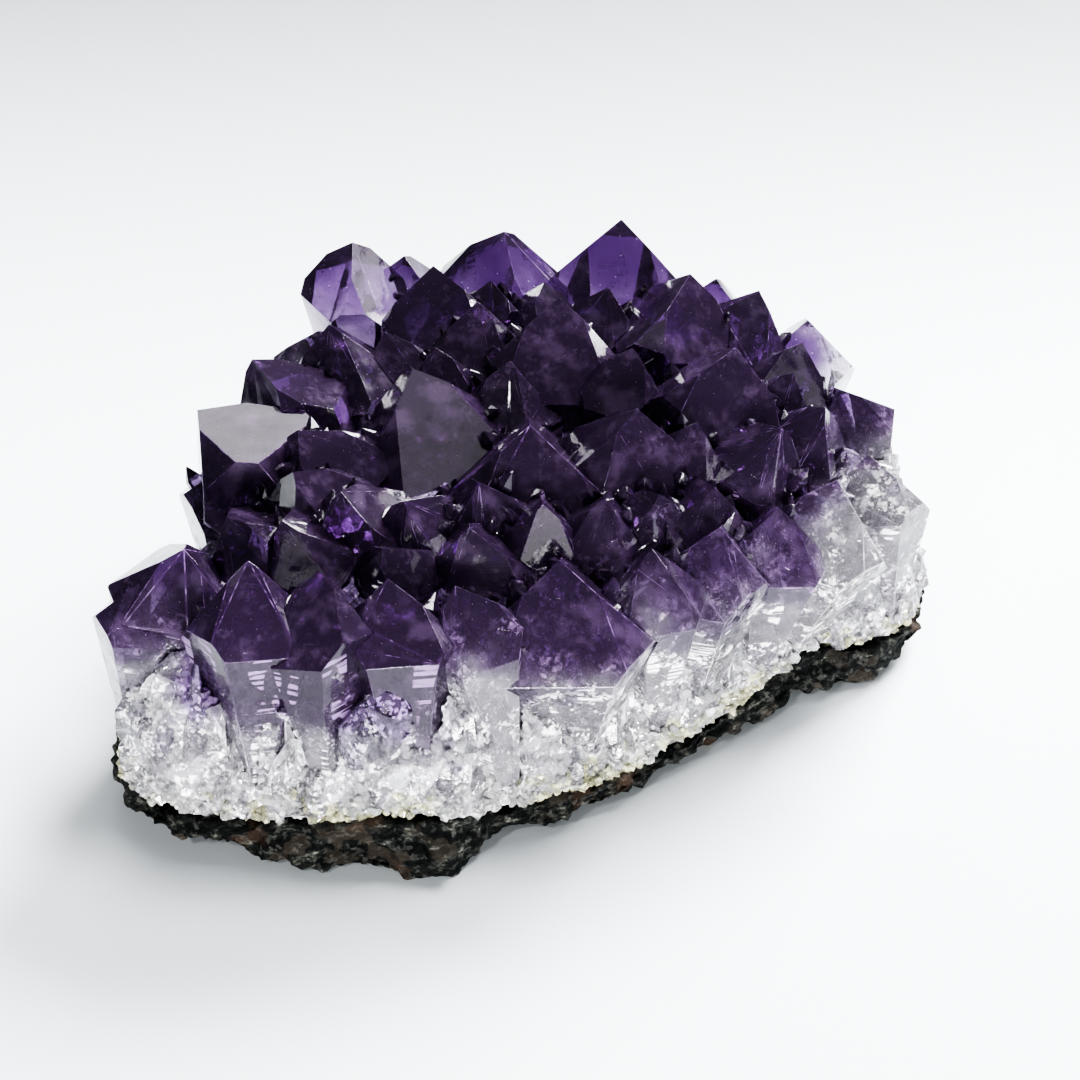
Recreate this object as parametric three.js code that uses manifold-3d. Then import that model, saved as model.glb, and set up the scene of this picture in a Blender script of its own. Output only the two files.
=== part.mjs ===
// An amethyst cluster: a hand-sized slab broken out of a geode wall, resting on its outer crust.
// From the bottom up it is a dark basalt rind, a bed of pale columnar quartz, and the amethyst
// points that grew out of the bed. Every point is a solid of its own, cut where it grew against
// its neighbours. Units are millimetres, +Z is up and -Y is the broad broken front.

import * as THREE from "three";
import { ConvexGeometry } from "three/addons/geometries/ConvexGeometry.js";
import { mergeVertices } from "three/addons/utils/BufferGeometryUtils.js";
import Module from "manifold-3d";

const wasm = await Module();
wasm.setup();

// ---- Driving dimensions ----------------------------------------------------------------------

const BED_TOP = 36; // height of the quartz bed under the middle of the points
const BROW = 27; // height of the bed at the top of its broken wall
const WALL_INSET = 5; // how far the wall leans in between the seam and the brow
const JOINT = 0.3; // gap left between solids that touch
const ROOT_DEPTH = 6; // how far a point in the field reaches down into the bed
const EDGE_ROOT = 3.5; // height above the seam where the points on the rim begin
const FAN_DEPTH = 95; // the points in the field fan out from a centre this far below the bed's top
const FACE_SLANT = 38.2; // degrees between quartz's end faces and its long axis
const EDGE_ROOT_SHARE = 0.35; // share of its width that a crowded crystal keeps at its root
const FIELD_ROOT_SHARE = 0.85;
const CROWDING = 1.3; // how much wider a crystal is than the part its neighbours leave free

// ---- Colours and finishes ---------------------------------------------------------------------

const amethyst = new THREE.MeshStandardMaterial({ color: 0x3a1a5e, roughness: 0.12, metalness: 0 });
const paleAmethyst = new THREE.MeshStandardMaterial({ color: 0x8d78a8, roughness: 0.18, metalness: 0 });
const quartz = new THREE.MeshStandardMaterial({ color: 0xd9d5dc, roughness: 0.35, metalness: 0 });
const basalt = new THREE.MeshStandardMaterial({ color: 0x3d3b36, roughness: 0.85, metalness: 0 });

// ---- The slab's outline -------------------------------------------------------------------------

// Points round the rim, counterclockwise from the front left corner. Each holds x, y, the height of
// the rind's lower edge and the height of the seam between rind and quartz.
const RIM = [
  [-57, -29, 3, 8],
  [-50, -38, 3, 7],
  [-39, -41, 3, 7],
  [-30, -43, 0.6, 9],
  [-18, -43.5, 0, 10],
  [-8, -43.5, 0, 10],
  [-4, -39, 2, 6.5],
  [6, -35, 2, 6],
  [18, -28, 2, 5.5],
  [28, -20, 2, 5.5],
  [37, -12, 1.5, 6],
  [45, -6, 1, 9],
  [53, -3, 1, 7],
  [61, 4, 3, 6],
  [63, 12, 4, 7],
  [61, 24, 3, 7],
  [54, 35, 2, 6],
  [43, 44, 1, 6],
  [28, 51, 0.5, 7],
  [10, 53.5, 1, 7],
  [-10, 53, 2, 6],
  [-26, 49, 1, 7],
  [-37, 38, 2, 6],
  [-44, 21, 2, 7],
  [-49, 4, 2, 7],
  [-55, -13, 3, 7],
];
const HUB = new THREE.Vector2(0, 4); // the slab's middle, which its rings close in on
const STEPS = 80; // points in one ring round the slab
const FOOT_SHARE = 0.62; // share of the rim's radius on which the rind lies flat

const closedCurve = (height) =>
  new THREE.CatmullRomCurve3(
    RIM.map((point) => new THREE.Vector3(point[0], point[1], point[height])),
    true,
  );
const footCurve = closedCurve(2);
const seamCurve = closedCurve(3);

// A fixed sequence of numbers from -1 to 1, so that the stone is the same stone each time.
function roughnessFrom(seed) {
  let state = seed;
  return () => {
    state = (state * 1664525 + 1013904223) >>> 0;
    return state / 2 ** 31 - 1;
  };
}

// One ring round the slab. place(rim point, step) gives each of its points.
function ring(place) {
  const points = [];
  for (let step = 0; step < STEPS; step++) {
    const foot = footCurve.getPoint(step / STEPS);
    const seam = seamCurve.getPoint(step / STEPS).z;
    points.push(place({ x: foot.x, y: foot.y, foot: foot.z, seam }, step));
  }
  return points;
}

// The rim point moved towards the hub until share of its radius is left, then inset by a distance.
function inward(rim, share, inset, z) {
  const out = new THREE.Vector2(rim.x, rim.y).sub(HUB);
  out.setLength(out.length() * share - inset);
  return new THREE.Vector3(HUB.x + out.x, HUB.y + out.y, z);
}

// A closed solid through rings, from the lowest to the highest, with both ends closed on the hub.
function loft(rings, lowHub, highHub) {
  const corners = rings.flat();
  const low = corners.push(lowHub) - 1;
  const high = corners.push(highHub) - 1;
  const faces = [];
  const last = (rings.length - 1) * STEPS;
  for (let step = 0; step < STEPS; step++) {
    const next = (step + 1) % STEPS;
    faces.push(low, next, step, high, last + step, last + next);
    for (let level = 0; level < last; level += STEPS) {
      const [a, b] = [level + step, level + next];
      faces.push(a, b, b + STEPS, a, b + STEPS, a + STEPS);
    }
  }
  return new THREE.BufferGeometry().setFromPoints(corners).setIndex(faces);
}

// ---- Solids: joining and cutting --------------------------------------------------------------

function solidOf(geometry) {
  const bare = new THREE.BufferGeometry().setAttribute("position", geometry.getAttribute("position"));
  bare.setIndex(geometry.index);
  const merged = mergeVertices(bare, 1e-4);
  return new wasm.Manifold(
    new wasm.Mesh({
      numProp: 3,
      vertProperties: merged.attributes.position.array,
      triVerts: new Uint32Array(merged.index.array),
    }),
  );
}

function geometryOf(solid) {
  const mesh = solid.getMesh();
  const geometry = new THREE.BufferGeometry()
    .setAttribute("position", new THREE.BufferAttribute(mesh.vertProperties, 3))
    .setIndex(new THREE.BufferAttribute(mesh.triVerts, 1));
  geometry.computeVertexNormals();
  return geometry;
}

// The largest body of a solid, without the splinters that a cut leaves.
function mainBody(solid) {
  return solid.decompose().reduce((most, body) => (body.volume() > most.volume() ? body : most));
}

// ---- The rind -----------------------------------------------------------------------------------

// Dark host rock, thick under the front where a knob hangs down, and thin to the right. It lies flat
// on the middle of its underside, and its broken edge is undercut all round.
function rindGeometry() {
  const rough = roughnessFrom(11);
  const jag = (size) => rough() * size;
  const rings = [
    ring((rim) => inward(rim, FOOT_SHARE, 0, 0)),
    ring((rim) => inward(rim, 0.86, jag(1), rim.foot * 0.45 + Math.abs(jag(0.3)))),
    ring((rim) => inward(rim, 1, 0.6 + jag(0.8), rim.foot + Math.abs(jag(0.6)))),
    ring((rim) => inward(rim, 1, -0.3 + jag(0.9), rim.foot * 0.55 + rim.seam * 0.45 + jag(0.4))),
    ring((rim) => inward(rim, 1, 0.2, rim.seam)),
    ring((rim) => inward(rim, 0.7, 0, rim.seam * 0.5 + 3)),
  ];
  const hub = (z) => new THREE.Vector3(HUB.x, HUB.y, z);
  return loft(rings, hub(0), hub(6));
}

// ---- The quartz bed -----------------------------------------------------------------------------

// Pale quartz that grew as crowded columns. The broken wall shows them as ribs that wander sideways
// as they rise, so each level repeats the ribs a little further round.
function bedGeometry() {
  const rough = roughnessFrom(29);
  const ribs = Array.from({ length: STEPS }, () => rough());
  const levels = [
    { rise: 0.15, lean: 0.12, drift: 0 },
    { rise: 0.38, lean: 0.3, drift: 0 },
    { rise: 0.62, lean: 0.55, drift: 1 },
    { rise: 0.84, lean: 0.8, drift: 1 },
    { rise: 1, lean: 1, drift: 2 },
  ];
  const wall = levels.map(({ rise, lean, drift }) =>
    ring((rim, step) => {
      const rib = ribs[(step + drift) % STEPS] * 1.3 + rough() * 0.4;
      const z = rim.seam + (BROW - rim.seam) * rise + rough() * 0.9;
      return inward(rim, 1, WALL_INSET * lean + 0.4 - rib, z);
    }),
  );
  const rings = [
    ring((rim) => inward(rim, 0.7, 0, rim.seam * 0.5 + 3 + JOINT)),
    ring((rim) => inward(rim, 1, 0.2, rim.seam + JOINT)),
    ...wall,
    ring((rim) => inward(rim, 0.8, 3, BED_TOP - 4 + rough() * 0.8)),
    ring((rim) => inward(rim, 0.45, 0, BED_TOP + rough() * 0.6)),
  ];
  const hub = (z) => new THREE.Vector3(HUB.x, HUB.y, z);
  return loft(rings, hub(6 + JOINT), hub(BED_TOP));
}

// ---- One amethyst point -------------------------------------------------------------------------

// The corners of the body that lies behind all of these planes, each { normal, distance }.
function cornersBehind(planes) {
  const corners = [];
  const cross = new THREE.Vector3();
  for (let i = 0; i < planes.length; i++)
    for (let j = i + 1; j < planes.length; j++)
      for (let k = j + 1; k < planes.length; k++) {
        const [a, b, c] = [planes[i], planes[j], planes[k]];
        const bc = new THREE.Vector3().crossVectors(b.normal, c.normal);
        const det = a.normal.dot(bc);
        if (Math.abs(det) < 1e-6) continue;
        const corner = bc.multiplyScalar(a.distance);
        corner.addScaledVector(cross.crossVectors(c.normal, a.normal), b.distance);
        corner.addScaledVector(cross.crossVectors(a.normal, b.normal), c.distance);
        corner.divideScalar(det);
        if (planes.every((p) => p.normal.dot(corner) < p.distance + 1e-5)) corners.push(corner);
      }
  return corners;
}

// The face planes of a quartz crystal with its tip at the origin and its body below it. Three of the
// six end faces are large and meet at the tip, and the three between them stand further out and stay
// small. The prism faces lean in towards the root, where rootShare of the width is left.
function quartzPlanes({ across, long, rootShare, seed }) {
  const rough = roughnessFrom(seed);
  const slant = THREE.MathUtils.degToRad(FACE_SLANT);
  const half = across / 2;
  const shoulder = half / Math.tan(slant); // depth of the edge between end faces and prism
  const lean = Math.atan((half * (1 - rootShare)) / (long - shoulder));
  const planes = [];
  const facing = (turn, tilt) =>
    new THREE.Vector3(Math.cos(turn) * Math.cos(tilt), Math.sin(turn) * Math.cos(tilt), Math.sin(tilt));
  for (let side = 0; side < 6; side++) {
    const turn = (side * Math.PI) / 3;
    const large = side % 2 === 0;
    const set = large ? Math.abs(rough()) * 0.03 : 0.05 + Math.abs(rough()) * 0.12;
    planes.push({ normal: facing(turn, slant), distance: set * across });
    const normal = facing(turn, -lean);
    const onShoulder = new THREE.Vector3(Math.cos(turn), Math.sin(turn), 0)
      .multiplyScalar(half * (1 + rough() * 0.13))
      .setZ(-shoulder);
    planes.push({ normal, distance: normal.dot(onShoulder) });
  }
  planes.push({ normal: new THREE.Vector3(0, 0, -1), distance: long });
  return planes;
}

// ---- The points of the cluster -----------------------------------------------------------------

// Each point is [x, y, z of its tip, width, turn about its axis in degrees, lean to +X and lean to
// +Y in degrees]. Without a lean, a point in the field fans out, and a point on the rim stands with
// its root on the broken wall.
const FIELD = {
  back: [
    [-13, 39, 48, 14, 25],
    [14, 36, 46, 10, 5],
    [26, 35, 49, 15, 65],
    [37, 37, 45, 13, 12],
  ],
  middle: [
    [-28, 27, 45, 13, 20],
    [-39, 18, 45, 14, 115, -31, 17],
    [-20, 27, 44, 9, 50],
    [-4, 38, 46, 8, 12],
    [4, 36, 47, 9, 70],
    [-6, 29, 48, 13, 28],
    [6.5, 25, 51, 16, 35],
    [17, 18, 47, 10, 10],
    [32, 15, 49, 15, 38],
    [-46, 9, 42, 15, 86, -47, 35],
    [-15, 11, 48, 17, 60],
    [-1, 16, 46, 11, 15],
    [-12, 21, 45, 9, 40],
    [-31, 0, 45, 14, 85],
    [2, -3, 48, 18, 30],
    [17.5, 0.5, 48, 15, 50],
    [26, 2, 45, 9, 18],
    [38, 2, 44, 11, 62],
    [41, 17, 43, 11, 8],
    [43, 27, 42, 12, 30],
    [45, 10, 42, 12, 100],
  ],
  near: [
    [-31, -8, 43.5, 13, 95],
    [-40, -15, 41, 11, 44],
    [-32, -17, 42, 11, 26],
    [-24, -13, 43.5, 13, 8],
    [-15.5, -14, 43, 12, 100],
    [-5, -11, 44, 11, 55],
    [4, -15, 43, 9, 34],
    [12.5, -14, 43, 12, 20],
    [20, -11, 42, 9, 70],
    [-6, -19, 42, 13, 33],
    [-18, -22, 41, 9, 75],
    [28, -8, 41, 11, 48],
  ],
};
const EDGE = {
  front: [
    [-51.5, -26, 38, 8, 30],
    [-45, -24, 42, 12, 24],
    [-36, -27, 42.5, 13, 40],
    [-26.5, -28, 41.5, 12, 12],
    [-17, -28, 40, 12, 34],
    [-8, -28, 39, 11, 52],
    [6, -25, 41, 17, 27],
    [19, -20, 39, 11, 46],
    [28.5, -15, 39, 11, 20],
    [37, -9, 38, 11, 38],
    [46, -3, 38, 13, 14],
  ],
  right: [
    [52, 9, 34, 11, 20],
    [48.5, 22, 37, 11, 50],
    [45, 36, 40, 11, 28],
  ],
  rear: [
    [31, 45, 42, 12, 16],
    [16, 48, 51, 14, 28],
    [-2, 47, 49, 14, -15],
    [-18, 47, 45, 10, 10],
    [-26, 46, 48, 12, 90],
    [-31, 36, 38, 10, 8],
  ],
  left: [[-40, 3, 39, 11, 30]],
};

// Where a point's root stands. In the field it is a little way down in the bed. On the rim it is
// under the nearest stretch of the seam, drawn in so that the prism comes out of the broken wall.
function rootOf([x, y, z, across, , leanX, leanY], onEdge) {
  const top = new THREE.Vector3(x, y, z);
  if (onEdge) {
    const flatDistance = (point) => Math.hypot(point.x - x, point.y - y);
    const root = seamCurve
      .getPoints(STEPS * 2)
      .reduce((best, point) => (flatDistance(point) < flatDistance(best) ? point : best));
    root.z += EDGE_ROOT;
    return inward(root, 1, across * CROWDING * 0.34, root.z);
  }
  const deep = z - BED_TOP + ROOT_DEPTH;
  if (leanX !== undefined) {
    const slope = (degrees) => Math.tan(THREE.MathUtils.degToRad(degrees)) * deep;
    return top.sub(new THREE.Vector3(slope(leanX), slope(leanY), deep));
  }
  const fan = deep / (z - BED_TOP + FAN_DEPTH);
  return top.lerp(new THREE.Vector3(HUB.x, HUB.y, BED_TOP - FAN_DEPTH), fan);
}

// One point, described by its node name, where it stands and its face planes.
function describe(name, row, onEdge, seed) {
  const [x, y, z, free, turn] = row;
  const across = free * CROWDING;
  const axis = new THREE.Vector3(x, y, z).sub(rootOf(row, onEdge));
  const long = axis.length();
  const up = new THREE.Vector3(0, 0, 1);
  const about = new THREE.Quaternion().setFromAxisAngle(up, THREE.MathUtils.degToRad(turn));
  const stand = new THREE.Quaternion().setFromUnitVectors(up, axis.normalize()).multiply(about);
  const place = new THREE.Matrix4().makeRotationFromQuaternion(stand).setPosition(x, y, z);
  const rootShare = onEdge ? EDGE_ROOT_SHARE : FIELD_ROOT_SHARE;
  return { name, across, place, planes: quartzPlanes({ across, long, rootShare, seed }) };
}

// The whole crystal as a solid, standing in the cluster, with every face moved out by grow.
function crystalSolid({ planes, place }, grow) {
  const moved = planes.map(({ normal, distance }) => ({ normal, distance: distance + grow }));
  return solidOf(new ConvexGeometry(cornersBehind(moved)).applyMatrix4(place));
}

const described = [];
for (const [groups, onEdge] of [
  [EDGE, true],
  [FIELD, false],
])
  for (const [place, rows] of Object.entries(groups))
    rows.forEach((row, i) =>
      described.push(describe(`${place}_crystal_${i + 1}`, row, onEdge, 7 * described.length + 3)),
    );

// ---- The cluster --------------------------------------------------------------------------------

const slab = new THREE.Group();

function addNode(name, geometry, material) {
  const mesh = new THREE.Mesh(geometry, material);
  mesh.name = name;
  slab.add(mesh);
}

// The larger of two crowded crystals keeps its shape, and the smaller is cut back from it.
let taken = crystalSolid(described.sort((a, b) => b.across - a.across)[0], JOINT);
described.forEach((crystal, i) => {
  const whole = crystalSolid(crystal, 0);
  const solid = mainBody((i ? whole.subtract(taken) : whole).simplify(0.05));
  taken = taken.add(crystalSolid(crystal, JOINT));
  const isPale = crystal.name.startsWith("front") || crystal.name.startsWith("right");
  addNode(crystal.name, geometryOf(solid), isPale ? paleAmethyst : amethyst);
});
const bed = solidOf(bedGeometry()).subtract(taken);
addNode("quartz_bed", geometryOf(mainBody(bed.simplify(0.1))), quartz);
addNode("basalt_rind", rindGeometry(), basalt);

// The origin is under the middle of the cluster, on the surface it lies on.
const bounds = new THREE.Box3().setFromObject(slab);
slab.position.set(-(bounds.min.x + bounds.max.x) / 2, -(bounds.min.y + bounds.max.y) / 2, -bounds.min.z);

const cluster = new THREE.Group();
cluster.add(slab);

export default cluster;
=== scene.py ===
import math
import random

import bpy
from mathutils import Matrix, Quaternion, Vector, noise
from mathutils.bvhtree import BVHTree


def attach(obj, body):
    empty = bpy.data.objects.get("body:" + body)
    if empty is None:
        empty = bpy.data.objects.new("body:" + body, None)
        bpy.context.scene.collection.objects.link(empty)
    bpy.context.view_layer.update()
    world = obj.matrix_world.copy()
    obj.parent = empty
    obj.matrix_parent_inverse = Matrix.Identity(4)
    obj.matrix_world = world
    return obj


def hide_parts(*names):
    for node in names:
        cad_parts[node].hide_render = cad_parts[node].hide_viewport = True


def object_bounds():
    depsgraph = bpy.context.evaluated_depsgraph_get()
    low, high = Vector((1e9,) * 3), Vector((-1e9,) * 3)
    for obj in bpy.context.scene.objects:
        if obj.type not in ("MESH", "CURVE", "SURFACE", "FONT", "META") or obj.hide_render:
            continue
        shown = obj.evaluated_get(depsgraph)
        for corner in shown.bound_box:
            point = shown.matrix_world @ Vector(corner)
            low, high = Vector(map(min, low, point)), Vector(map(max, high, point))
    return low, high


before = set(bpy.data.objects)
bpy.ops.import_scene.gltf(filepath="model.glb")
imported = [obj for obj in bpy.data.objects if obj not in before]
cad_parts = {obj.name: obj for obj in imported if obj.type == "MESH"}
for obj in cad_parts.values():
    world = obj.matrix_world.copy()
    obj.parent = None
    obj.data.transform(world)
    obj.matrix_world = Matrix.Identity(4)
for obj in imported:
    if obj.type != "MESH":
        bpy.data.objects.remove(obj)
cad_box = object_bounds()

# ---- Large amethyst points ----------------------------------------------------------------------
# Six-sided quartz crystals that stand crowded on the bed, deep purple at the tips. Each has a point
# of sloping end faces on a prism, and stops where it grew against its larger neighbours.

NICK = 0.00008  # width of the worn band along a crystal's edges, pale partly as a painted highlight
SWELL = 0.00018  # growth that closes most of the gap to the neighbours
SAME_CORNER = 1e-6  # corners of the loose triangles this near are one
FLAT = math.radians(0.5)  # faces this nearly in one plane are one face
SHARP = math.radians(12)  # edges that turn more than this are worn, and painted with a highlight
QUARTZ_IOR = 1.544
chance = random.Random(5)


def work_on(piece):
    bpy.ops.object.select_all(action="DESELECT")
    piece.select_set(True)
    bpy.context.view_layer.objects.active = piece


def copy_of_node(node, name):
    piece = bpy.data.objects.new(name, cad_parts[node].data.copy())
    piece.data.materials.clear()
    bpy.context.scene.collection.objects.link(piece)
    work_on(piece)
    bpy.ops.object.mode_set(mode="EDIT")
    bpy.ops.mesh.select_all(action="SELECT")
    bpy.ops.mesh.remove_doubles(threshold=SAME_CORNER)
    bpy.ops.object.mode_set(mode="OBJECT")
    return piece


def tone_whole(piece, low=-0.5, high=0.5):
    """Marks a crystal as a little lighter or darker than the next, for its finish to read."""
    tone = piece.data.attributes.new("tone", "FLOAT", "POINT")
    tone.data.foreach_set("value", [chance.uniform(low, high)] * len(piece.data.vertices))


class Flow:
    """One output of a finish's nodes, so that masks and heights add and multiply as numbers do."""

    def __init__(self, finish, socket):
        self.finish = finish
        self.socket = socket

    def out(self, name):
        return Flow(self.finish, self.socket.node.outputs[name])

    def sum(self, operation, first, second):
        return self.finish.node("ShaderNodeMath", {"operation": operation}, {0: first, 1: second})

    def __add__(self, other):
        return self.sum("ADD", self, other)

    def __radd__(self, other):
        return self.sum("ADD", other, self)

    def __sub__(self, other):
        return self.sum("SUBTRACT", self, other)

    def __rsub__(self, other):
        return self.sum("SUBTRACT", other, self)

    def __mul__(self, other):
        return self.sum("MULTIPLY", self, other)

    def __rmul__(self, other):
        return self.sum("MULTIPLY", other, self)

    def rise(self, low, high):
        """0 below low, 1 above high and smooth between."""
        settings = {"interpolation_type": "SMOOTHSTEP"}
        return self.finish.node("ShaderNodeMapRange", settings, {0: self, 1: low, 2: high})


class Finish:
    """A material while it is being mixed."""

    def __init__(self, name):
        self.material = bpy.data.materials.new(name)
        self.material.use_nodes = True
        self.nodes = self.material.node_tree.nodes
        self.nodes.clear()
        self.place = self.node("ShaderNodeTexCoord").out("Object")

    def node(self, kind, settings=None, inputs=None, output=0):
        made = self.nodes.new(kind)
        for name, value in (settings or {}).items():
            if name == "stops":
                ramp = made.color_ramp.elements
                ramp[1].position, ramp[1].color = value[-1]
                ramp[0].position, ramp[0].color = value[0]
                for position, colour in value[1:-1]:
                    ramp.new(position).color = colour
            else:
                setattr(made, name, value)
        for name, value in (inputs or {}).items():
            if isinstance(value, Flow):
                self.material.node_tree.links.new(value.socket, made.inputs[name])
            else:
                made.inputs[name].default_value = value
        return Flow(self, made.outputs[output])

    def mix(self, share, first, second):
        return self.node("ShaderNodeMix", {"data_type": "RGBA"}, {0: share, 6: first, 7: second}, 2)

    def mark(self, name):
        return self.node("ShaderNodeAttribute", {"attribute_name": name}, None, "Fac")

    def clouds(self, size, detail=3.0, roughness=0.5, stretch=None):
        place = self.place
        if stretch:
            place = self.node("ShaderNodeMapping", None, {"Vector": place, "Scale": stretch})
        inputs = {"Vector": place, "Scale": 1 / size, "Detail": detail, "Roughness": roughness}
        return self.node("ShaderNodeTexNoise", None, inputs)

    def cells(self, size, feature="F1", place=None):
        inputs = {"Vector": place or self.place, "Scale": 1 / size}
        return self.node("ShaderNodeTexVoronoi", {"feature": feature}, inputs)

    def flakes(self, size, bare):
        """Ragged hard-edged patches, like broken planes in quartz. The share bare has none."""
        inputs = {"Vector": self.place, "Scale": 1.4 / size, "Detail": 2.0}
        sway = self.node("ShaderNodeTexNoise", None, inputs, 1)
        moved = {0: sway, 1: (size, size, size), 2: self.place}
        place = self.node("ShaderNodeVectorMath", {"operation": "MULTIPLY_ADD"}, moved)
        colour = self.cells(size, "F1", place).out("Color")
        lot = self.node("ShaderNodeSeparateColor", None, {0: colour})
        return lot.out("Red").rise(bare, bare + 0.02) * (0.35 + 0.65 * lot.out("Green"))

    def stone(self, **sockets):
        named = {name.replace("_", " "): value for name, value in sockets.items()}
        return self.node("ShaderNodeBsdfPrincipled", None, named)

    def show(self, stone, veil=None, share=None):
        """Gives the finish this stone, with a veil of another over the given share of it."""
        if veil:
            stone = self.node("ShaderNodeMixShader", None, {0: share, 1: stone, 2: veil})
        shown = self.nodes.new("ShaderNodeOutputMaterial")
        self.material.node_tree.links.new(stone.socket, shown.inputs["Surface"])
        return self.material


MILK = (0.73, 0.715, 0.765, 1)  # the white veils inside pale quartz
SPARK = (0.97, 0.96, 0.98, 1)  # the white face of a crack, made brighter as a painted glint
SEAM_TO_PURPLE = 0.0242  # height on the left where clear quartz turns purple


def purple_share(finish):
    """How purple the quartz is at this place: 1 among the points, 0 down in the clear wall."""
    axes = finish.node("ShaderNodeSeparateXYZ", None, {0: finish.place})
    x, y, z = axes.out("X"), axes.out("Y"), axes.out("Z")
    to_front_edge = 0.0356 - (0.673 * x - 0.74 * y)
    pale_front = x.rise(0.010, 0.032) * (1 - to_front_edge.rise(0.0, 0.012))
    pale_right = x.rise(0.036, 0.056)
    fade = SEAM_TO_PURPLE + 0.0055 * pale_front + 0.005 * pale_right
    blotches = 0.032 * (finish.clouds(0.011, 3.0) - 0.5)
    above = z - fade + blotches + 0.010 * finish.mark("tone")
    return (above * 100).rise(-0.7, 1.3)


def purple_colour(finish, share):
    stops = [
        (0.0, (0.80, 0.78, 0.83, 1)),
        (0.22, (0.66, 0.60, 0.72, 1)),
        (0.45, (0.46, 0.38, 0.54, 1)),
        (0.75, (0.22, 0.135, 0.28, 1)),
        (1.0, (0.106, 0.043, 0.162, 1)),
    ]
    return finish.node("ShaderNodeValToRGB", {"stops": stops}, {0: share})


def facet_tilts(finish, size):
    """A height that gives each small cell a flat face of its own tilt, as broken quartz has."""
    cells = finish.cells(size)
    shift, along = {"operation": "SUBTRACT"}, {"operation": "DOT_PRODUCT"}
    arm = finish.node("ShaderNodeVectorMath", shift, {0: finish.place, 1: cells.out("Position")})
    lean = finish.node("ShaderNodeVectorMath", shift, {0: cells.out("Color"), 1: (0.5, 0.5, 0.5)})
    return finish.node("ShaderNodeVectorMath", along, {0: arm, 1: lean}).out("Value")


def amethyst_finish():
    """Clear deep purple that fades to white quartz, with growth lines and hillocks on its faces."""
    finish = Finish("amethyst")
    share = purple_share(finish)
    tone = finish.mark("tone")
    slope = finish.node("ShaderNodeNewGeometry").out("Normal")
    slope = finish.node("ShaderNodeSeparateXYZ", None, {0: slope})
    steep = 1 - slope.out("Z").rise(0.05, 0.3)

    # The feet are smoky here and there, the heads a little lighter or darker from point to point.
    clear = finish.flakes(0.0045, 0.5)
    smoke = (0.45 + 0.6 * tone + 0.4 * clear) * (1 - share.rise(0.1, 0.6))
    gloom = (0.3 - 0.85 * tone) * share.rise(0.3, 0.8)
    zones = finish.clouds(0.005, 4.0, 0.6)
    near_tip = 1 - (finish.mark("below_tip") + 0.008 * (zones - 0.5)).rise(0.001, 0.014)
    colour = purple_colour(finish, share)
    colour = finish.mix(smoke, colour, (0.36, 0.325, 0.405, 1))
    colour = finish.mix(gloom, colour, (0.031, 0.011, 0.060, 1))
    colour = finish.mix(0.9 * near_tip * share.rise(0.5, 1.0), colour, (0.026, 0.005, 0.055, 1))

    # Pale dust lies on the faces in specks; the steep prism sides in the purple get painted shade.
    dust = finish.cells(0.0008)
    lot = finish.node("ShaderNodeSeparateColor", None, {0: dust.out("Color")})
    specks = (1 - dust.out("Distance").rise(0.05, 0.12)) * lot.out("Red").rise(0.55, 0.6)
    colour = finish.mix(0.5 * specks, colour, (0.75, 0.7, 0.82, 1))
    # Painted shade: near black on the steep faces, for the deeper colour seen into the prisms.
    colour = finish.mix(0.75 * steep * share.rise(0.05, 0.5), colour, (0.030, 0.015, 0.045, 1))

    # Growth lines run level round the prisms in bands. The feet are broken to small facets.
    lines = finish.clouds(0.00062, 2.0, 0.5, (0.06, 0.06, 1)).rise(0.50, 0.55)
    bands = finish.clouds(0.0034, 1.0, 0.5, (1, 1, 0.35)).rise(0.60, 0.63) * steep
    growth = lines * bands
    hillocks = 0.25 * finish.cells(0.0028, "SMOOTH_F1").out("Distance")
    swells = 0.8 * finish.clouds(0.005, 1.0) + 0.05 * finish.clouds(0.0006, 2.0)
    broken = (1 - share) * finish.clouds(0.006, 2.0).rise(0.45, 0.6)
    height = hillocks + 0.12 * growth + swells + 1300 * facet_tilts(finish, 0.0026) * broken
    relief = {"Strength": 0.45, "Distance": 0.0004, "Height": height}
    normal = finish.node("ShaderNodeBump", None, relief)

    stone = finish.stone(
        Base_Color=colour,
        Roughness=0.04 + 0.14 * finish.clouds(0.003, 3.0).rise(0.45, 0.75) + 0.3 * specks,
        IOR=QUARTZ_IOR,
        Transmission_Weight=0.9,
        Normal=normal,
    )
    cloudy = 0.08 * finish.clouds(0.005, 3.0, 0.6).rise(0.5, 0.7)
    crushed = finish.clouds(0.0045, 3.0).rise(0.50, 0.58) * (0.05 + 0.75 * (1 - share))
    # White cracks: partly real, partly painted glint. White growth lines: painted highlight.
    cracks_and_glints = finish.flakes(0.0008, 0.75) + finish.flakes(0.0004, 0.75)
    white_cracks_and_painted_glints = cracks_and_glints * crushed * (1 - 0.7 * clear) + 0.75 * growth
    tint = finish.mix(white_cracks_and_painted_glints.rise(0.0, 0.3), MILK, SPARK)
    tint = finish.mix(share.rise(0.1, 0.6), tint, (0.30, 0.19, 0.38, 1))
    veil = finish.stone(Base_Color=tint, Roughness=0.3, Normal=normal)
    return finish.show(stone, veil, 0.04 + cloudy + white_cracks_and_painted_glints)


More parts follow.
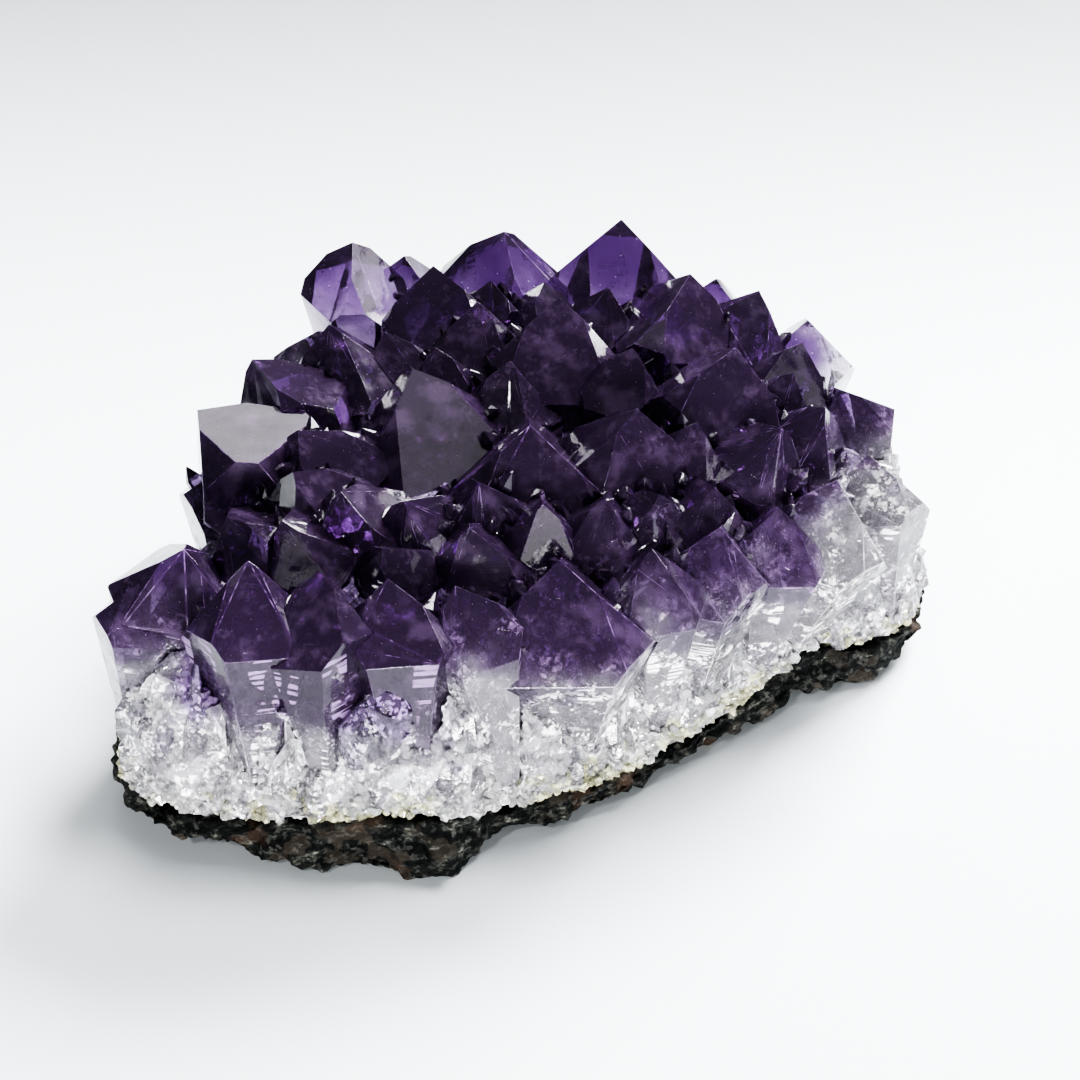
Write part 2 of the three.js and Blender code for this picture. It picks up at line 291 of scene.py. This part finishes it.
def worn_edge_and_highlight_finish():
    """The edges of the points: a paler line from wear and chips that comes and goes, partly a
    painted highlight.
    """
    finish = Finish("worn_edge")
    share = purple_share(finish)
    rub_and_glint = finish.clouds(0.0016, 3.0).rise(0.48, 0.64)
    rubbed_and_glint_colour = finish.mix(share.rise(0.0, 0.6), (0.88, 0.87, 0.92, 1), (0.17, 0.10, 0.23, 1))
    colour = finish.mix(rub_and_glint, purple_colour(finish, share), rubbed_and_glint_colour)
    worn_and_glint_stone = finish.stone(Base_Color=colour, Roughness=0.32)
    clear = finish.stone(
        Base_Color=colour, Roughness=0.12, IOR=QUARTZ_IOR, Transmission_Weight=0.8
    )
    return finish.show(clear, worn_and_glint_stone, 0.15 + 0.6 * rub_and_glint)


amethyst = amethyst_finish()
worn_edge = worn_edge_and_highlight_finish()
ANY_TONE, LIGHT_TONE = (-0.5, 0.5), (-0.5, -0.3)

point_nodes = sorted(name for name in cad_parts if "_crystal_" in name)
for node in point_nodes:
    point = copy_of_node(node, node.replace("crystal", "point"))
    point.data.materials.append(amethyst)
    point.data.materials.append(worn_edge)
    bpy.ops.object.mode_set(mode="EDIT")
    bpy.ops.mesh.select_all(action="SELECT")
    bpy.ops.transform.shrink_fatten(value=SWELL)
    bpy.ops.mesh.dissolve_limited(angle_limit=FLAT)
    bpy.ops.mesh.select_all(action="DESELECT")
    bpy.ops.mesh.edges_select_sharp(sharpness=SHARP)
    # The bevel's faces take the second material: worn edges, partly a painted highlight.
    bpy.ops.mesh.bevel(offset=NICK, segments=2, clamp_overlap=True, material=1)
    bpy.ops.object.mode_set(mode="OBJECT")
    tone_whole(point, *(LIGHT_TONE if node.startswith("rear") else ANY_TONE))
    tip = max(corner.co.z for corner in point.data.vertices)
    below_tip = point.data.attributes.new("below_tip", "FLOAT", "POINT")
    below_tip.data.foreach_set("value", [tip - corner.co.z for corner in point.data.vertices])
    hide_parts(node)
    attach(point, "root")

# ---- Quartz bed ---------------------------------------------------------------------------------
# The crowded columns and grains of clear and white quartz that the points grew from. It is broken
# through all round, so its side is a wall of ribs and small facets.


def quartz_finish(name, milk):
    """Quartz of the wall, clear where milk is 0 and full of white veils where it is 1."""
    finish = Finish(name)
    share = purple_share(finish)
    stains = 0.2 * finish.clouds(0.007, 3.0).rise(0.42, 0.7)
    clear = finish.flakes(0.0040, 0.5)
    smoke = 0.08 + stains + 0.5 * finish.mark("tone") + 0.5 * clear
    colour = finish.mix(smoke, purple_colour(finish, share), (0.42, 0.395, 0.47, 1))
    height = 1500 * facet_tilts(finish, 0.0024) + 0.1 * finish.clouds(0.0006, 2.0)
    relief = {"Strength": 0.45, "Distance": 0.0006, "Height": height}
    normal = finish.node("ShaderNodeBump", None, relief)
    stone = finish.stone(
        Base_Color=colour,
        Roughness=0.04 + 0.12 * finish.clouds(0.002, 2.0).rise(0.4, 0.7),
        IOR=QUARTZ_IOR,
        Transmission_Weight=0.94,
        Normal=normal,
    )
    cloudy = 0.15 * finish.clouds(0.0035, 4.0, 0.6).rise(0.5, 0.58)
    crushed = 0.15 + 0.6 * finish.clouds(0.003, 3.0).rise(0.48, 0.56)
    # White crack flakes: partly the quartz's own cracks, partly painted glints.
    flaws_and_glints = (finish.flakes(0.0008, 0.75) + finish.flakes(0.0004, 0.75)) * crushed
    tint = finish.mix(flaws_and_glints.rise(0.0, 0.3), MILK, SPARK)
    tint = finish.mix(share.rise(0.1, 0.7), tint, (0.36, 0.24, 0.5, 1))
    veil = finish.stone(Base_Color=tint, Roughness=0.25, Normal=normal)
    veiled = (milk * 0.25 + cloudy + 1.2 * flaws_and_glints) * (1 - 0.6 * clear)
    return finish.show(stone, veil, veiled)


milky_quartz = quartz_finish("milky_quartz", 1.0)
clear_quartz = quartz_finish("clear_quartz", 0.0)


def roughen(piece, kind, size, depth, level=0.5):
    """Pushes the surface in and out by a pattern of lumps or cells of this size."""
    pattern = bpy.data.textures.new(piece.name + "_relief", kind)
    pattern.noise_scale = size
    relief = piece.modifiers.new("relief", "DISPLACE")
    relief.texture = pattern
    relief.texture_coords = "LOCAL"
    relief.strength = depth
    relief.mid_level = level
    work_on(piece)
    bpy.ops.object.modifier_apply(modifier="relief")


def refine(piece, cuts):
    work_on(piece)
    bpy.ops.object.mode_set(mode="EDIT")
    bpy.ops.mesh.select_all(action="SELECT")
    bpy.ops.mesh.subdivide(number_cuts=cuts)
    bpy.ops.object.mode_set(mode="OBJECT")


bed = copy_of_node("quartz_bed", "quartz_bed_wall")
refine(bed, 3)
roughen(bed, "VORONOI", 0.0042, 0.0020, 0.9)
roughen(bed, "CLOUDS", 0.0015, 0.0007)
bed.data.materials.append(milky_quartz)
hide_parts("quartz_bed")
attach(bed, "root")

# ---- Wall shards --------------------------------------------------------------------------------
# Slim wedges of quartz that fill the broken wall between the points, each a small crystal that
# widens upwards to a low point. They stand in rows, the smallest at the seam, with crushed clear
# chips on them in patches and pale grains along the seam.

LOOKS_UP = 0.9  # a face whose normal is at least this upright
OUTSIDE = 0.12  # a radius that is clear of the whole cluster
STEP = 0.0002  # how finely the top of the rind is felt for from outside


def face_by_height(piece, up):
    """Selects the face that looks straight up or down, and leaves the piece in edit mode."""
    work_on(piece)
    bpy.ops.object.mode_set(mode="EDIT")
    bpy.ops.mesh.select_mode(type="FACE")
    bpy.ops.mesh.select_all(action="DESELECT")
    bpy.ops.object.mode_set(mode="OBJECT")
    for face in piece.data.polygons:
        face.select = face.normal.z * up > LOOKS_UP
    bpy.ops.object.mode_set(mode="EDIT")


def wedge(name, sides, prism, tip, root, lean):
    """A crystal with its root at the origin: its width is 1, its prism and tip are this high."""
    bpy.ops.object.select_all(action="DESELECT")
    bpy.ops.mesh.primitive_cylinder_add(vertices=sides, radius=0.5, depth=prism)
    piece = bpy.context.object
    piece.name = name
    bpy.ops.transform.translate(value=(0, 0, prism / 2))
    bpy.ops.object.transform_apply(location=True)
    face_by_height(piece, 1)
    bpy.ops.mesh.extrude_region_move(TRANSFORM_OT_translate={"value": (lean, lean / 2, tip)})
    bpy.ops.transform.resize(value=(0.16, 0.06, 1), center_override=(lean, lean / 2, prism + tip))
    bpy.ops.object.mode_set(mode="OBJECT")
    face_by_height(piece, -1)
    bpy.ops.transform.resize(value=(root, root * 1.2, 1), center_override=(0, 0, 0))
    bpy.ops.object.mode_set(mode="OBJECT")
    return piece


def scatter(masters, places, name):
    """Stands a copy of one of the patterns at each place, and joins the copies into one piece."""
    copies = []
    for place in places:
        copy = bpy.data.objects.new(name, chance.choice(masters).data.copy())
        copy.data.transform(place)
        tone_whole(copy)
        bpy.context.scene.collection.objects.link(copy)
        copies.append(copy)
    bpy.ops.object.select_all(action="DESELECT")
    for copy in copies:
        copy.select_set(True)
    bpy.context.view_layer.objects.active = copies[0]
    bpy.ops.object.join()
    copies[0].name = name
    return copies[0]


def solid_tree(pieces):
    """The surface of these pieces, for rays to find."""
    corners, faces = [], []
    for piece in pieces:
        start = len(corners)
        corners.extend(v.co.copy() for v in piece.data.vertices)
        faces.extend([start + i for i in face.vertices] for face in piece.data.polygons)
    return BVHTree.FromPolygons(corners, faces)


def standing(spot, axis, width, height):
    """The place of a crystal with its root here, at a random turn about its axis."""
    turn = Quaternion((0, 0, 1), chance.uniform(0, 2 * math.pi))
    stand = Vector((0, 0, 1)).rotation_difference(axis) @ turn
    flat = chance.uniform(0.75, 1.1)
    return Matrix.LocRotScale(spot, stand, Vector((width, width * flat, height)))


def jitter(amount):
    return Vector([chance.uniform(-amount, amount) for _ in range(3)])


wall = solid_tree([bed])
rind_top = solid_tree([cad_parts["basalt_rind"]])
middle = Vector((0, -0.003, 0))


def on_wall(angle, height):
    """Where the broken wall is at this height above the seam, looking in from outside."""
    outward = Vector((math.cos(angle), math.sin(angle), 0))
    for steps in range(60, 5, -2):
        start = middle + outward * OUTSIDE + Vector((0, 0, steps * STEP))
        if rind_top.ray_cast(start, -outward)[0] is not None:
            break
    level = steps * STEP + height
    hit = wall.ray_cast(middle + outward * OUTSIDE + Vector((0, 0, level)), -outward)[0]
    return hit, outward


def row_of_shards(count, low, high, width, height, bury):
    """Places for shards all round the wall, their roots this far up it and partly sunk in it."""
    places = []
    for i in range(count):
        angle = (i + chance.uniform(-0.5, 0.5)) / count * 2 * math.pi
        hit, outward = on_wall(angle, chance.uniform(low, high))
        if hit is None:
            continue
        across = width * chance.uniform(0.6, 1.35)
        axis = Vector((0, 0, 1)) - outward * 0.24 + jitter(0.10)
        spot = hit - outward * across * bury * chance.uniform(0.6, 1.4)
        places.append(standing(spot, axis.normalized(), across, height * chance.uniform(0.7, 1.3)))
    return places


patterns = [
    wedge("slim_pattern", 6, 0.72, 0.28, 0.75, 0.05),
    wedge("stout_pattern", 6, 0.60, 0.40, 0.9, -0.10),
    wedge("spire_pattern", 5, 0.35, 0.65, 1.0, 0.08),
]
shards = scatter(
    patterns,
    row_of_shards(170, 0.0005, 0.004, 0.0030, 0.0050, 0.42)
    + row_of_shards(110, 0.001, 0.007, 0.0048, 0.0095, 0.40)
    + row_of_shards(90, 0.005, 0.011, 0.0066, 0.0130, 0.34),
    "wall_shards",
)
shards.data.materials.append(clear_quartz)
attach(shards, "root")


def seam_finish():
    """White grains, stained pale yellow by the rind in long patches."""
    finish = Finish("seam_quartz")
    stain = finish.clouds(0.007, 3.0).rise(0.40, 0.56)
    colour = finish.mix(stain, (0.80, 0.80, 0.80, 1), (0.76, 0.75, 0.52, 1))
    clear = finish.stone(
        Base_Color=colour, Roughness=0.1, IOR=QUARTZ_IOR, Transmission_Weight=0.85
    )
    dull = finish.stone(Base_Color=colour, Roughness=0.4)
    return finish.show(clear, dull, 0.1 + 0.5 * finish.clouds(0.0015, 3.0).rise(0.45, 0.6))


def crumbs(count, low, high, small, large, patchy):
    """Places for broken bits that lie any way up on the wall and on the feet of the points."""
    places = []
    while len(places) < count:
        hit, outward = on_wall(chance.uniform(0, 2 * math.pi), chance.uniform(low, high))
        if hit is None or noise.noise(hit * 170) < patchy:
            continue
        size = chance.uniform(small, large)
        axis = jitter(1).normalized()
        spot = hit - axis * size * 0.6 - outward * size * 0.12
        places.append(standing(spot, axis, size, size * 1.2))
    return places


def chip_finish():
    finish = Finish("bright_quartz")
    tint = finish.mix(purple_share(finish), (0.98, 0.98, 0.99, 1), (0.45, 0.30, 0.58, 1))
    clear = finish.stone(
        Base_Color=tint, Roughness=0.05, IOR=QUARTZ_IOR, Transmission_Weight=0.8
    )
    return finish.show(clear)


IN_PATCHES, EVERYWHERE = 0.0, -1.0

chips = scatter(patterns, crumbs(3000, 0.001, 0.026, 0.0006, 0.0019, IN_PATCHES), "wall_chips")
chips.data.materials.append(chip_finish())
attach(chips, "root")

grains = scatter(
    patterns,
    crumbs(1400, -0.0008, 0.0040, 0.0008, 0.0016, EVERYWHERE)
    + crumbs(900, -0.0008, 0.0012, 0.0008, 0.0014, EVERYWHERE),
    "seam_grains",
)
grains.data.materials.append(seam_finish())
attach(grains, "root")

# ---- Valley points ------------------------------------------------------------------------------
# Small amethyst crystals that grew in the hollows between the large points. They are whole, and
# stand with their roots sunk in the feet and sides of their neighbours.

COUNT = 260
LOWEST = 0.022  # no hollow below this is among the points
AROUND = 0.0022  # radius of the ring of spots that is felt around a hollow
HOLLOW = 0.0009  # how far the ring lies above the hollow, at least

field = solid_tree([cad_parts[node] for node in point_nodes])


def drop(x, y):
    """The highest spot of the field here, and its normal."""
    return field.ray_cast(Vector((x, y, 0.1)), Vector((0, 0, -1)))[:2]


valley_places = []
(left, front, _), (right, back, _) = cad_box
while len(valley_places) < COUNT:
    x, y = chance.uniform(left, right), chance.uniform(front, back)
    spot = drop(x, y)[0]
    if spot is None or spot.z < LOWEST:
        continue
    ring = [drop(x + AROUND * math.cos(a), y + AROUND * math.sin(a)) for a in range(6)]
    ring = [(near, normal) for near, normal in ring if near is not None]
    if len(ring) < 6 or sum(near.z for near, normal in ring) / 6 - spot.z < HOLLOW:
        continue
    axis = (sum((normal for near, normal in ring), Vector()) / 6 + jitter(0.3)).normalized()
    across = chance.uniform(0.0010, 0.0030)
    long = across * chance.uniform(1.6, 2.4)
    valley_places.append(standing(spot - axis * long * 0.45, axis, across, long))

valley_points = scatter(patterns, valley_places, "valley_points")
valley_points.data.materials.append(amethyst)
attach(valley_points, "root")

for pattern in patterns:
    bpy.data.objects.remove(pattern)

# ---- Rind ---------------------------------------------------------------------------------------
# The crust of dark basalt that the geode grew in. It is thick and knobbly under the front and thin
# to the right, and its broken edge shows brown and grey patches.


def basalt_finish():
    """Near black in layers, with grey grain, brown patches and a little rust."""
    finish = Finish("basalt")
    stops = [
        (0.42, (0.001, 0.0015, 0.0015, 1)),
        (0.50, (0.004, 0.005, 0.005, 1)),
        (0.56, (0.018, 0.020, 0.018, 1)),
        (0.61, (0.075, 0.075, 0.065, 1)),
        (0.68, (0.30, 0.30, 0.27, 1)),
    ]
    strata = finish.clouds(0.003, 9.0, 0.8, (1, 1, 2.0))
    colour = finish.node("ShaderNodeValToRGB", {"stops": stops}, {0: strata})
    colour = finish.mix(0.25 * finish.flakes(0.0007, 0.84), colour, (0.20, 0.20, 0.18, 1))
    colour = finish.mix(0.35 * finish.flakes(0.0028, 0.8), colour, (0.092, 0.073, 0.058, 1))
    rust = finish.clouds(0.007, 5.0, 0.6).rise(0.57, 0.68)
    colour = finish.mix(0.3 * rust, colour, (0.10, 0.056, 0.038, 1))
    height = 450 * facet_tilts(finish, 0.0021) + 0.7 * finish.clouds(0.0014, 8.0, 0.7, (1, 1, 2.0))
    relief = {"Strength": 1.0, "Distance": 0.0012, "Height": height}
    stone = finish.stone(
        Base_Color=colour,
        Roughness=0.35 + 0.4 * finish.clouds(0.003, 2.0),
        Specular_IOR_Level=0.12,
        Normal=finish.node("ShaderNodeBump", None, relief),
    )
    return finish.show(stone)


rind = copy_of_node("basalt_rind", "basalt_crust")
refine(rind, 6)
roughen(rind, "CLOUDS", 0.0070, 0.0045)
roughen(rind, "CLOUDS", 0.0026, 0.0026)
roughen(rind, "CLOUDS", 0.0009, 0.0007)

# What the relief pushed below the floor is pressed flat again, as the rest face.
bpy.ops.object.mode_set(mode="EDIT")
bpy.ops.mesh.select_mode(type="VERT")
bpy.ops.mesh.select_all(action="DESELECT")
bpy.ops.object.mode_set(mode="OBJECT")
for corner in rind.data.vertices:
    corner.select = corner.co.z < 0
bpy.ops.object.mode_set(mode="EDIT")
bpy.ops.transform.resize(value=(1, 1, 0), center_override=(0, 0, 0))
bpy.ops.object.mode_set(mode="OBJECT")
bpy.ops.object.shade_smooth_by_angle(angle=math.radians(40))
rind.data.materials.append(basalt_finish())
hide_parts("basalt_rind")
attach(rind, "root")

# ---- Studio -------------------------------------------------------------------------------------
# A floor of pale paper with painted shade, darker towards the back in place of light falloff. The
# main light is a large soft box behind on the right, with another high above it, and a low strip in
# front that the prisms mirror in lines.

FLOOR = 6  # metres
SKY = (0.93, 0.96, 1.0, 1)
SKY_LEVEL = 0.12

bpy.ops.object.select_all(action="DESELECT")
bpy.ops.mesh.primitive_plane_add(size=FLOOR)
floor = bpy.context.object
floor.name = "floor"
paper = Finish("paper")
# Painted shade: the paper goes from pale at the front to dark grey at the back.
far = paper.node("ShaderNodeSeparateXYZ", None, {0: paper.place}).out("Y").rise(0.02, 0.27)
paper_and_painted_shade = paper.mix(far, (0.835, 0.885, 0.915, 1), (0.185, 0.200, 0.208, 1))
floor.data.materials.append(paper.show(paper.stone(Base_Color=paper_and_painted_shade, Roughness=0.8)))

world = bpy.data.worlds.new("studio")
world.use_nodes = True
sky = world.node_tree.nodes["Background"]
sky.inputs["Color"].default_value = SKY
sky.inputs["Strength"].default_value = SKY_LEVEL
bpy.context.scene.world = world


def softbox(name, spot, width, height, power):
    """A lamp of this size in metres and power in watts that faces the middle of the cluster."""
    light = bpy.data.lights.new(name, "AREA")
    light.shape = "RECTANGLE"
    light.size = width
    light.size_y = height
    light.energy = power
    lamp = bpy.data.objects.new(name, light)
    lamp.location = spot
    lamp.rotation_euler = Vector(spot).to_track_quat("Z", "Y").to_euler()
    bpy.context.scene.collection.objects.link(lamp)


softbox("key_softbox", (0.54, 0.77, 0.74), 0.55, 0.55, 57)
softbox("high_softbox", (0.36, 0.22, 1.12), 0.40, 0.40, 13)
softbox("small_lamp", (-0.38, -0.62, 0.72), 0.10, 0.10, 1.8)
softbox("top_softbox", (-0.10, 0.30, 1.15), 0.7, 0.7, 1.0)
softbox("front_strip", (0.20, -1.00, 0.05), 1.3, 0.08, 28)
softbox("front_window", (0.16, -0.95, 0.28), 0.22, 0.22, 0.5)
softbox("side_softbox", (0.82, 0.42, 0.39), 0.16, 0.16, 0.35)
softbox("back_softbox", (-0.14, 0.80, 0.59), 0.32, 0.32, 1.4)
softbox("front_card", (0.52, -0.38, 0.76), 0.25, 0.25, 0.25)
bpy.context.scene.view_settings.look = "AgX - High Contrast"

LENS = 85  # millimetres
LOOKS_DOWN = 38  # degrees below level

camera = bpy.data.objects.new("camera", bpy.data.cameras.new("camera"))
camera.data.lens = LENS
camera.data.clip_start = 0.01
camera.location = (0.00085, -0.30278, 0.2569)
camera.rotation_euler = (math.radians(90 - LOOKS_DOWN), 0, 0)
bpy.context.scene.collection.objects.link(camera)
bpy.context.scene.camera = camera
